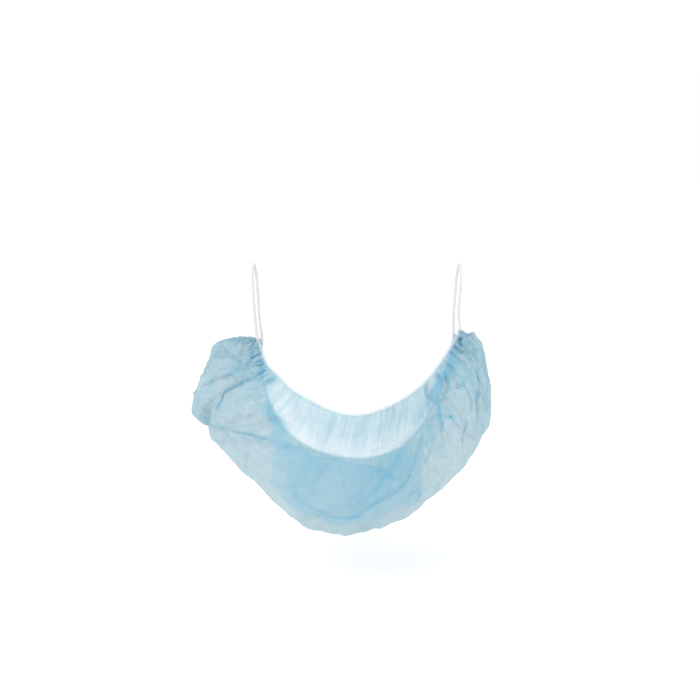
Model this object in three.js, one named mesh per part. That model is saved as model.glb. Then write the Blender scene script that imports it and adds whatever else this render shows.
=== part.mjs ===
// Beard cover, as worn: a strip of pleated nonwoven gathered on one closed ring of elastic.
// The ring runs along the front edge below the lower lip, over one ear, back along the rear
// edge across the throat, and over the other ear. The strip hangs from it as an open pouch.
// Millimetres. +X to the right as seen from the front, -Y the way the face looks, +Z up.
// The origin is midway between the two places where the ear loops rest on the ears.

import * as THREE from 'three';

// Driving sizes
const clothWall = 1.2;
const elasticDiameter = 2.4;
const seatGap = 0.3; // between the ends of the elastic pieces
const edgeGap = 0.65; // between the cloth and the elastic, less where the elastic bends
const leastSine = 0.5; // the edge gap is lengthened no more than this where cloth and elastic meet at a slant
const loopRestHeight = elasticDiameter / 2;
const flatLength = 460; // of the cloth as cut, from ear to ear
const flatWidth = 170;
const creaseNone = 0.04; // shares of the way across where no crease reaches, and where it is whole
const creaseWhole = 0.12;

// How finely the surfaces are drawn
const stepsPerSection = 4;
const stepsAcross = 26;
const elasticSides = 8;
const edgeSteps = 64;
const loopSteps = 28;
const samplesPerPoint = 40; // of the elastic ring, to measure along it

// Sections of the pouch, one row each from the left ear to the right ear.
// front: point on the front edge. keel: the outermost or lowest point of the cloth.
// rear: point on the rear edge. The last two columns are how far the front and the
// rear panel swell away from the straight line between their edge and the keel.
const sections = rowsOf(
  ['frontX', 'frontY', 'frontZ', 'keelX', 'keelY', 'keelZ', 'rearX', 'rearY', 'rearZ', 'swellFront', 'swellRear'],
  [
    [-75, 2, -54, -80, 11, -65, -73, 22, -60, 1, 1],
    [-71, -16, -59, -108, 4, -54, -74, 20, -75, 12, 13],
    [-66, -36, -65, -116, -9, -79, -71, 9, -91, 16, 17],
    [-57, -56, -69, -126, -18, -101, -65, -4, -106, 17, 18],
    [-47, -75, -74, -112, -27, -119, -56, -18, -118, 15, 15],
    [-34, -91, -78, -90, -43, -140, -43, -32, -126, 15, 12],
    [-21, -101, -82, -64, -60, -163, -28, -41, -131, 12, 10],
    [-9, -105, -85, -36, -76, -177, -11, -47, -134, 9, 9],
    [3, -106, -85, -5, -88, -179, 6, -48, -134, 8, 9],
    [15, -102, -83, 24, -84, -172, 21, -45, -132, 9, 9],
    [27, -93, -80, 51, -66, -159, 35, -36, -127, 12, 10],
    [39, -80, -76, 77, -43, -144, 47, -24, -118, 14, 12],
    [50, -62, -71, 97, -22, -122, 57, -9, -106, 15, 14],
    [61, -41, -63, 101, -10, -95, 65, 5, -91, 14, 14],
    [71, -19, -54, 97, 3, -61, 72, 17, -73, 11, 11],
    [78, 2, -46, 82, 11, -58, 75, 22, -55, 1, 1],
  ],
);

// The ear loops, from the front corner of the pouch over the ear to its rear corner.
const loopPoints = rowsOf(
  ['side', 'y', 'z'],
  [
    [77, 4, -36],
    [78, 4, -20],
    [78.5, 5, -6],
    [78, 11, loopRestHeight],
    [77, 20, -6],
    [76, 24, -22],
    [75, 24, -42],
  ],
);

// Creases pressed or pulled into the cloth. Each runs from one place to another, given
// by its section and by its share of the way across from the front edge to the rear one.
const creases = rowsOf(
  ['fromSection', 'fromAcross', 'toSection', 'toAcross', 'halfWidth', 'depth'],
  [
    [1.0, 0.1, 3.7, 0.42, 6, 5],
    [0.8, 0.3, 2.4, 0.46, 6, 4],
    [2.2, 0.12, 4.2, 0.36, 5, 3],
    [4.2, 0.28, 4.2, 0.74, 6, 5],
    [4.2, 0.46, 5.6, 0.3, 6, 4],
    [5.6, 0.3, 7.6, 0.22, 6, 4],
    [7.6, 0.22, 9.6, 0.28, 6, 4],
    [9.6, 0.28, 10.8, 0.42, 6, 3],
    [10.8, 0.42, 9.4, 0.42, 6, 3],
    [9.4, 0.42, 7.8, 0.56, 6, 3],
    [11.8, 0.12, 11.6, 0.42, 5, 3],
    [12.6, 0.1, 12.5, 0.44, 5, 4],
    [13.3, 0.14, 13.0, 0.42, 5, 4],
    [13.9, 0.16, 14.2, 0.46, 6, 4],
    [2.0, 0.6, 3.8, 0.84, 7, 4],
    [11.0, 0.84, 13.6, 0.6, 7, 4],
  ],
);

function rowsOf(columns, rows) {
  return rows.map((row) => Object.fromEntries(columns.map((name, i) => [name, row[i]])));
}

// The elastic ring: front edge, right loop, rear edge, left loop, and round again.
const frontPoints = sections.map((s) => new THREE.Vector3(s.frontX, s.frontY, s.frontZ));
const keelPoints = sections.map((s) => new THREE.Vector3(s.keelX, s.keelY, s.keelZ));
const rearPoints = sections.map((s) => new THREE.Vector3(s.rearX, s.rearY, s.rearZ));
const rightLoop = loopPoints.map((p) => new THREE.Vector3(p.side, p.y, p.z));
const leftLoop = loopPoints.map((p) => new THREE.Vector3(-p.side, p.y, p.z)).reverse();
const ringPoints = [...frontPoints, ...rightLoop, ...[...rearPoints].reverse(), ...leftLoop];
const ring = new THREE.CatmullRomCurve3(ringPoints, true, 'centripetal');
ring.arcLengthDivisions = ringPoints.length * samplesPerPoint;
const lastSection = sections.length - 1;
const rearStart = sections.length + rightLoop.length;
const rearEnd = rearStart + lastSection;

// A stretch of the ring between two of its points, shortened by the gap at each end.
class RingStretch extends THREE.Curve {
  constructor(fromPoint, toPoint) {
    super();
    const lengths = ring.getLengths();
    this.from = (lengths[fromPoint * samplesPerPoint] + seatGap) / ring.getLength();
    this.to = (lengths[toPoint * samplesPerPoint] - seatGap) / ring.getLength();
  }

  getPoint(t, target = new THREE.Vector3()) {
    return ring.getPointAt(this.from + (this.to - this.from) * t, target);
  }
}

function elasticTube(fromPoint, toPoint, steps) {
  const round = new THREE.Shape();
  for (let i = 0; i < elasticSides; i += 1) {
    const angle = (i / elasticSides) * Math.PI * 2;
    const x = (Math.cos(angle) * elasticDiameter) / 2;
    const y = (Math.sin(angle) * elasticDiameter) / 2;
    if (i === 0) {
      round.moveTo(x, y);
    } else {
      round.lineTo(x, y);
    }
  }
  const extrudePath = new RingStretch(fromPoint, toPoint);
  return new THREE.ExtrudeGeometry(round, { steps, bevelEnabled: false, extrudePath });
}

// Midway point of a panel, swollen away from the hollow that the cloth goes round.
function swollenMiddle(edge, keel, hollow, swell) {
  const middle = edge.clone().add(keel).multiplyScalar(0.5);
  const along = keel.clone().sub(edge).normalize();
  const outward = middle.clone().sub(hollow);
  outward.addScaledVector(along, -outward.dot(along)).normalize();
  return middle.addScaledVector(outward, swell);
}

const frontMiddles = [];
const rearMiddles = [];
for (let i = 0; i <= lastSection; i += 1) {
  const hollow = frontPoints[i].clone().add(keelPoints[i]).add(rearPoints[i]).multiplyScalar(1 / 3);
  frontMiddles.push(swollenMiddle(frontPoints[i], keelPoints[i], hollow, sections[i].swellFront));
  rearMiddles.push(swollenMiddle(rearPoints[i], keelPoints[i], hollow, sections[i].swellRear));
}
const frontMiddleLine = new THREE.CatmullRomCurve3(frontMiddles, false, 'centripetal');
const keelLine = new THREE.CatmullRomCurve3(keelPoints, false, 'centripetal');
const rearMiddleLine = new THREE.CatmullRomCurve3(rearMiddles, false, 'centripetal');

// The line that the cloth follows across the pouch at one place along it, from edge to edge.
function lineAcross(section) {
  const t = section / lastSection;
  const points = [
    ring.getPoint(section / ringPoints.length),
    frontMiddleLine.getPoint(t),
    keelLine.getPoint(t),
    rearMiddleLine.getPoint(t),
    ring.getPoint((rearEnd - section) / ringPoints.length),
  ];
  return new THREE.CatmullRomCurve3(points, false, 'centripetal');
}

// How far a crease draws the cloth in at one place.
function creaseDepth(section, across) {
  const sectionWidth = flatLength / lastSection;
  let total = 0;
  for (const c of creases) {
    const ax = c.fromSection * sectionWidth;
    const ay = c.fromAcross * flatWidth;
    const dx = c.toSection * sectionWidth - ax;
    const dy = c.toAcross * flatWidth - ay;
    const px = section * sectionWidth - ax;
    const py = across * flatWidth - ay;
    const t = THREE.MathUtils.clamp((px * dx + py * dy) / (dx * dx + dy * dy), 0, 1);
    const away = Math.hypot(px - dx * t, py - dy * t) / c.halfWidth;
    total = Math.max(total, c.depth * Math.exp(-away * away));
  }
  const fromEdge = Math.min(across, 1 - across);
  return total * THREE.MathUtils.smoothstep(fromEdge, creaseNone, creaseWhole);
}

// How far along its line the cloth starts, so that it clears the elastic by the edge gap
// also where the two don't meet squarely.
function startBeside(lineTangent, ringPoint) {
  const ringTangent = ring.getTangent(ringPoint / ringPoints.length);
  const sine = lineTangent.clone().cross(ringTangent).length();
  return (elasticDiameter / 2 + edgeGap) / Math.max(sine, leastSine);
}

function pouchGeometry() {
  const stepsAlong = lastSection * stepsPerSection;
  const middle = [];
  for (let i = 0; i <= stepsAlong; i += 1) {
    const section = i / stepsPerSection;
    const line = lineAcross(section);
    const length = line.getLength();
    const start = startBeside(line.getTangent(0), section);
    const end = length - startBeside(line.getTangent(1), rearEnd - section);
    for (let j = 0; j <= stepsAcross; j += 1) {
      const distance = THREE.MathUtils.lerp(start, end, j / stepsAcross);
      middle.push(line.getPointAt(distance / length));
    }
  }
  const columns = stepsAcross + 1;
  const at = (i, j) => middle[i * columns + j];
  const normals = middle.map((point, n) => {
    const i = Math.floor(n / columns);
    const j = n % columns;
    const along = at(Math.min(i + 1, stepsAlong), j).clone().sub(at(Math.max(i - 1, 0), j));
    const across = at(i, Math.min(j + 1, stepsAcross)).clone().sub(at(i, Math.max(j - 1, 0)));
    return across.cross(along).normalize();
  });
  const positions = [];
  for (const side of [1, -1]) {
    middle.forEach((point, n) => {
      const section = Math.floor(n / columns) / stepsPerSection;
      const across = (n % columns) / stepsAcross;
      const shift = (side * clothWall) / 2 - creaseDepth(section, across);
      const placed = point.clone().addScaledVector(normals[n], shift);
      positions.push(placed.x, placed.y, placed.z);
    });
  }
  const inner = middle.length;
  const index = [];
  const quad = (a, b, c, d) => index.push(a, b, c, a, c, d);
  for (let i = 0; i < stepsAlong; i += 1) {
    for (let j = 0; j < stepsAcross; j += 1) {
      const a = i * columns + j;
      const b = a + 1;
      const c = a + columns + 1;
      const d = a + columns;
      quad(a, b, c, d);
      quad(inner + a, inner + d, inner + c, inner + b);
    }
  }
  const rim = (a, b) => quad(a, inner + a, inner + b, b);
  for (let i = 0; i < stepsAlong; i += 1) {
    rim((i + 1) * columns, i * columns);
    rim(i * columns + stepsAcross, (i + 1) * columns + stepsAcross);
  }
  for (let j = 0; j < stepsAcross; j += 1) {
    rim(j, j + 1);
    rim(stepsAlong * columns + j + 1, stepsAlong * columns + j);
  }
  const geometry = new THREE.BufferGeometry();
  geometry.setAttribute('position', new THREE.Float32BufferAttribute(positions, 3));
  geometry.setIndex(index);
  geometry.computeVertexNormals();
  return geometry;
}

const nonwoven = new THREE.MeshStandardMaterial({ color: 0x9fcbe0, roughness: 0.85, metalness: 0 });
const hemmed = new THREE.MeshStandardMaterial({ color: 0xc3dbe6, roughness: 0.85, metalness: 0 });
const elastic = new THREE.MeshStandardMaterial({ color: 0xeeeeec, roughness: 0.7, metalness: 0 });

function piece(name, geometry, material) {
  const mesh = new THREE.Mesh(geometry, material);
  mesh.name = name;
  return mesh;
}

const beardCover = new THREE.Group();
beardCover.add(piece('pouch', pouchGeometry(), nonwoven));
beardCover.add(piece('front_hem', elasticTube(0, lastSection, edgeSteps), hemmed));
beardCover.add(piece('rear_hem', elasticTube(rearStart, rearEnd, edgeSteps), hemmed));
beardCover.add(piece('ear_loop_right', elasticTube(lastSection, rearStart, loopSteps), elastic));
beardCover.add(piece('ear_loop_left', elasticTube(rearEnd, ringPoints.length, loopSteps), elastic));

export default beardCover;
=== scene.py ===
# Beard cover, as worn: half see-through blue nonwoven gathered on one ring of elastic.
import math
import bmesh
import bpy
import numpy as np
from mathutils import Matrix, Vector


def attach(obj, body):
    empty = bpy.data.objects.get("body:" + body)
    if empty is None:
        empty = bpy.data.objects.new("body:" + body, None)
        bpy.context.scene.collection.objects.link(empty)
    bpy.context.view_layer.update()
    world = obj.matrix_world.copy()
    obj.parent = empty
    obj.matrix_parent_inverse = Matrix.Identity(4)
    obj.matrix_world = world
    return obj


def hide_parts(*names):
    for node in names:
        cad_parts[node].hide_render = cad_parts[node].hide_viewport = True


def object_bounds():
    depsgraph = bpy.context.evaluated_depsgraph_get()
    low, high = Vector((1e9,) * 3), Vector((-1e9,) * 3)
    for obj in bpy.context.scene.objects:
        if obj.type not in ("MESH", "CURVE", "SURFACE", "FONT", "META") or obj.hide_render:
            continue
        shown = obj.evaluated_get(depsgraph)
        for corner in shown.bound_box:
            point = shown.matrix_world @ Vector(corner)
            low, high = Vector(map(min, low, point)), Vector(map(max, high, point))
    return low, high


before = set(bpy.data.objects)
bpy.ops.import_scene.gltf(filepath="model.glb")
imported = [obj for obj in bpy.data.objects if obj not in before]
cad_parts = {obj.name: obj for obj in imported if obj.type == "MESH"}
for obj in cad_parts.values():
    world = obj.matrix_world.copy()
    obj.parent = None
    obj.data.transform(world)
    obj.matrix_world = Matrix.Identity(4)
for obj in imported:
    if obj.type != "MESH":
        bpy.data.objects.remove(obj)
cadBox = [list(corner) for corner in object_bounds()]
mm = 0.001


# Lines and rows

def smoothRows(rows, steps):
    # a smooth line through the rows of a table, with every column carried along
    rows = np.asarray(rows, float)
    ends = np.vstack([2 * rows[0] - rows[1], rows, 2 * rows[-1] - rows[-2]])
    t = np.linspace(0, 1, steps, endpoint=False)[:, None]
    stretches = []
    for i in range(len(rows) - 1):
        a, b, c, d = ends[i:i + 4]
        bend = (2 * a - 5 * b + 4 * c - d) * t**2 + (3 * b - a - 3 * c + d) * t**3
        stretches.append(0.5 * (2 * b + (c - a) * t + bend))
    return np.vstack(stretches + [rows[-1:]])


def alongLine(line, shares):
    # points at given shares of a line's length
    steps = np.linalg.norm(np.diff(line, axis=0), axis=1)
    reached = np.r_[0, np.cumsum(steps)] / steps.sum()
    return np.stack([np.interp(shares, reached, line[:, k]) for k in range(line.shape[1])], -1)


def unit(vectors):
    return vectors / np.maximum(np.linalg.norm(vectors, axis=-1, keepdims=True), 1e-9)


def smoothStep(x, low, high):
    t = np.clip((x - low) / (high - low), 0, 1)
    return t * t * (3 - 2 * t)


def closedLine(points, steps):
    # a smooth closed line that doesn't overshoot where its points are close; steps for each stretch
    points = np.asarray(points, float)
    count = len(points)
    t = np.linspace(0, 1, steps, endpoint=False)[:, None]
    stretches = []
    for i in range(count):
        a, b, c, d = points[[i - 1, i, (i + 1) % count, (i + 2) % count]]
        ab, bc, cd = (math.sqrt(np.linalg.norm(q - p)) for p, q in ((a, b), (b, c), (c, d)))
        leaving = ((b - a) / ab - (c - a) / (ab + bc) + (c - b) / bc) * bc
        arriving = ((c - b) / bc - (d - b) / (bc + cd) + (d - c) / cd) * bc
        square = -3 * b + 3 * c - 2 * leaving - arriving
        cube = 2 * b - 2 * c + leaving + arriving
        stretches.append(b + leaving * t + (square * t**2 + cube * t**3))
    return np.vstack(stretches)


# The elastic ring: front edge, right loop, rear edge, left loop

ring = {
    "diameter": 2.4,  # mm
    "steps": 40,  # for each stretch between two points
    "front": [
        (-75, 2, -54), (-71, -16, -59), (-66, -36, -65), (-57, -56, -69), (-47, -75, -74),
        (-34, -91, -78), (-21, -101, -82), (-9, -105, -85), (3, -106, -85), (15, -102, -83),
        (27, -93, -80), (39, -80, -76), (50, -62, -71), (61, -41, -63), (71, -19, -54), (78, 2, -46)],
    "rear": [
        (-73, 22, -60), (-74, 20, -75), (-71, 9, -91), (-65, -4, -106), (-56, -18, -118),
        (-43, -32, -126), (-28, -41, -131), (-11, -47, -134), (6, -48, -134), (21, -45, -132),
        (35, -36, -127), (47, -24, -118), (57, -9, -106), (65, 5, -91), (72, 17, -73), (75, 22, -55)],
    # the loops from front corner to rear corner, on the right; the left one mirrors it
    "loop": [
        (77, 4, -36), (78, 4, -20), (78.5, 5, -6), (78, 11, 1.2), (77, 20, -6), (76, 24, -22),
        (75, 24, -42)],
}


def ringStretches():
    loop = np.array(ring["loop"], float)
    points = np.vstack([ring["front"], loop, ring["rear"][::-1], (loop * (-1, 1, 1))[::-1]])
    line = closedLine(points, ring["steps"])
    line = np.vstack([line, line[:1]])
    atFront, atRear = len(ring["front"]), len(ring["rear"])
    corners = np.cumsum([0, atFront - 1, len(loop) + 1, atRear - 1, len(loop) + 1]) * ring["steps"]
    front, rightLoop, rear, leftLoop = (line[corners[k]:corners[k + 1] + 1] for k in range(4))
    return front, rightLoop, rear[::-1], leftLoop


frontLine, rightLoopLine, rearLine, leftLoopLine = ringStretches()


# The cloth

cover = {
    "flatLength": 460,  # mm, from ear to ear as cut
    "flatWidth": 170,
    "stepsAlong": 150,  # while the cloth is simulated
    "stepsAcross": 56,
    "finer": 3,  # how many steps each one becomes afterwards
    "sectionSteps": 40,  # of the smooth line from one section to the next
    "panelSteps": 16,  # of each quarter of the line round a section
    "hemFade": (-2, 6),  # mm from the hems between which the wide pleats and creases reach their height
    "seed": 7,
    # keel x y z, share of front edge, share of rear edge, swell of front panel, swell of rear panel
    "sections": [
        (-80, 11, -55, .000, .000, 1, 1),
        (-106.5, 4, -56.5, .045, .055, 7, 8),
        (-116, -6, -76, .090, .120, 13, 15),
        (-125, -18, -101, .140, .190, 17, 18),
        (-112, -27, -119, .200, .260, 15, 15),
        (-90, -43, -140, .275, .335, 15, 12),
        (-63, -60, -161, .360, .400, 12, 10),
        (-36, -76, -177, .450, .460, 9, 9),
        (-5, -88, -178, .540, .525, 8, 9),
        (24, -84, -172, .630, .590, 9, 9),
        (51, -66, -159, .715, .655, 12, 10),
        (77, -43, -144, .790, .730, 14, 12),
        (97, -22, -122, .855, .805, 15, 14),
        (101, -10, -95, .910, .875, 14, 14),
        (95, 3, -66, .955, .940, 11, 11),
        (82, 11, -54, 1.00, 1.00, 1, 1)],
}

gathers = {
    "wide": {"front": 22, "rear": 22, "reach": (30, 75), "share": 0.7},  # pleats along each hem
    "fine": {"front": 52, "rear": 50, "reach": (14, 46), "share": 1.0},
    "ends": {"count": 12, "reach": (30, 75), "share": 1.0},
    "tautHalf": 0.16,  # share of the length on each side of the chin that is pulled nearly flat
    "tautShare": 0.3,  # how much of the pleats is left there
    "highest": 3.6,  # mm
    "rise": 0.32,  # how high a pleat stands for its pitch
    "mostSlack": 6,  # mm taken up for each mm left, at most
    "stray": 0.45,  # how far pleats stand from their even places, in pleats
    "strayPleats": 2.2,  # and how many pleats on that changes
    "drift": 0.5,  # the same further in
    "driftSize": 40,  # mm
    "driftFull": 60,  # mm in from the edge
    "reachPleats": 1.3,
    "uneven": 0.25,  # how much a pleat's height changes along it
    "unevenSize": 9,
    "fullShare": 0.25,  # share of its reach over which a pleat keeps its height
    "stretchBlur": 4,
}

# Creases by share along and share across: from, to, height in mm (in is negative), half width in mm
creases = [
    (.200, .04, .243, .13, -4, 5), (.243, .13, .270, .37, -4, 6),
    (.060, .06, .183, .12, -3, 5), (.183, .12, .196, .31, -4, 6),
    (.278, .02, .280, .15, -2.5, 4), (.280, .15, .345, .17, -2, 5),
    (.030, .04, .100, .18, -5, 7), (.100, .18, .100, .34, -3, 6),
    (.250, .34, .250, .72, -4, 6),
    (.926, .02, .883, .18, -4, 5), (.883, .18, .870, .30, -2.5, 5),
    (.683, .04, .722, .16, -3, 4), (.778, .15, .722, .16, -3, 4),
    (.713, .15, .706, .42, -2.5, 5), (.752, .17, .743, .42, -3, 5),
    (.817, .17, .775, .42, -3, 5), (.850, .20, .812, .42, -3, 5),
    (.14, .60, .25, .86, -4, 7), (.22, .58, .33, .80, -3, 6),
    (.86, .60, .74, .84, -4, 7), (.80, .58, .70, .78, -3, 6),
    (.45, .62, .47, .92, -2.5, 6), (.56, .60, .55, .92, -2.5, 6),
]
creaseShape = 1.4  # 1 makes a sharp fold and 2 a round one

# Small sharp wrinkles scattered over the cloth, most of them running towards the nearer ear
crinkles = {
    "count": 110,
    "length": (12, 42),
    "height": (-1.9, 1.6),
    "halfWidth": (1.1, 2.0),
    "turn": 0.7,
    "calmHalf": 0.2,  # share of the length on each side of the chin where they are low
    "calmShare": 0.3,
    "along": (0.02, 0.98),  # shares of the length and width where their middles may lie
    "across": (0.03, 0.97),
    "bow": 0.12,
    "shape": 1.3,  # as for the creases
    "fullShare": 0.4,  # share of the length that has the full height
    "lineHeight": 1.5,  # mm of height that shows as a whole line
}

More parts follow.
